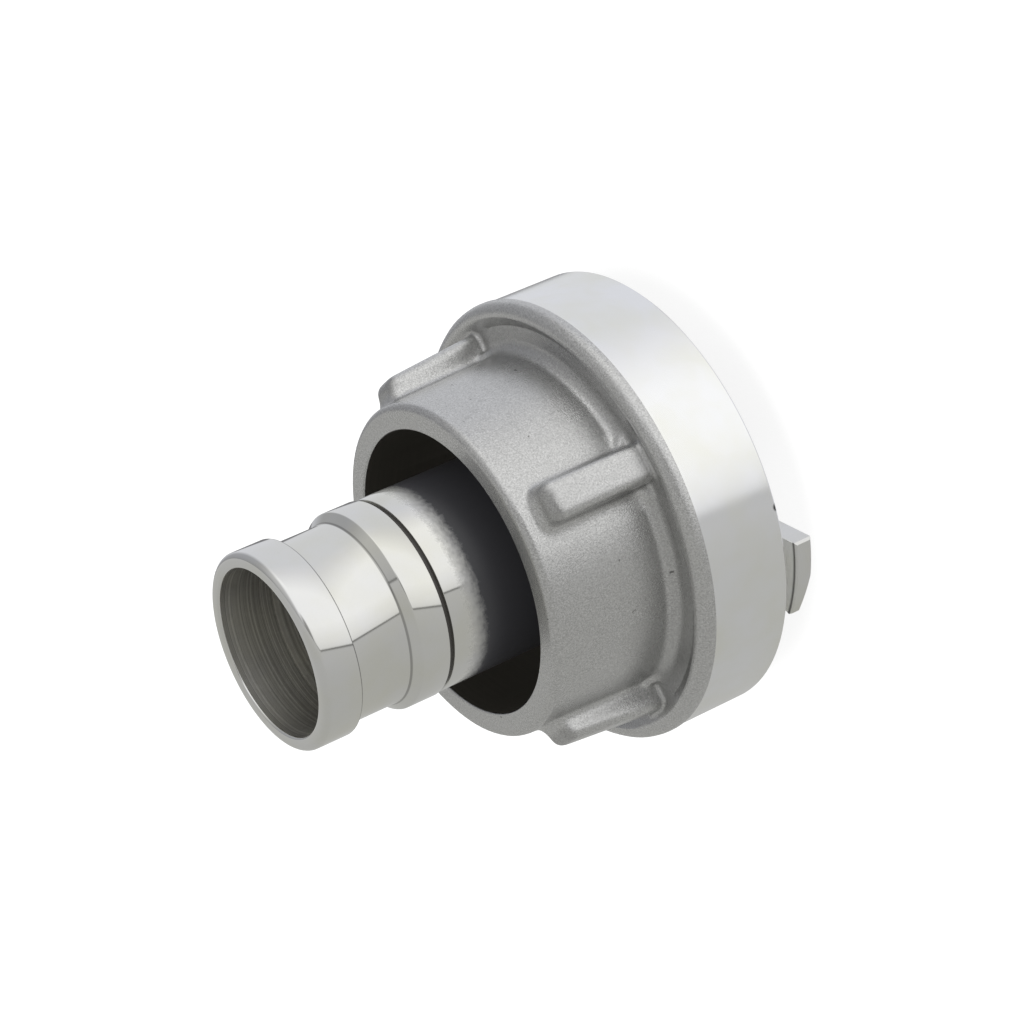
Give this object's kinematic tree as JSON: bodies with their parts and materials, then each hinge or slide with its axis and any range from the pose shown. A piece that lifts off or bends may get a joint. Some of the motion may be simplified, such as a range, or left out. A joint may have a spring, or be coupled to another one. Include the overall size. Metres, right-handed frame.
{
  "type": "quarter turn fire hose coupling",
  "caption": "Aluminium quarter-turn fire hose coupling: hose tail with binding groove, spinning lugged locking ring with ribbed neck, rubber face seal.",
  "frame": {"origin": "on the coupling's axis, level with the tips of the two lugs that it stands on", "axes": "+Z along the axis from the lugs to the hose tail's mouth; +X through one lug"},
  "size_m": [0.0986, 0.0986, 0.1055],
  "materials": {
    "ring_aluminium": "blasted casting, turned rim",
    "tail_aluminium": "turned",
    "seal_rubber": "moulded",
    "spring_steel": "rolled strip"
  },
  "bodies": {
    "ring": {"locking_ring": "ring_aluminium"},
    "tail": {"hose_tail": "tail_aluminium", "face_seal": "seal_rubber", "retaining_ring": "spring_steel"}
  },
  "joints": [
    {"name": "ring_spin", "type": "hinge", "parent": "ring", "child": "tail", "pos_m": [0, 0, 0], "axis": [0, 0, 1], "continuous": true}
  ]
}
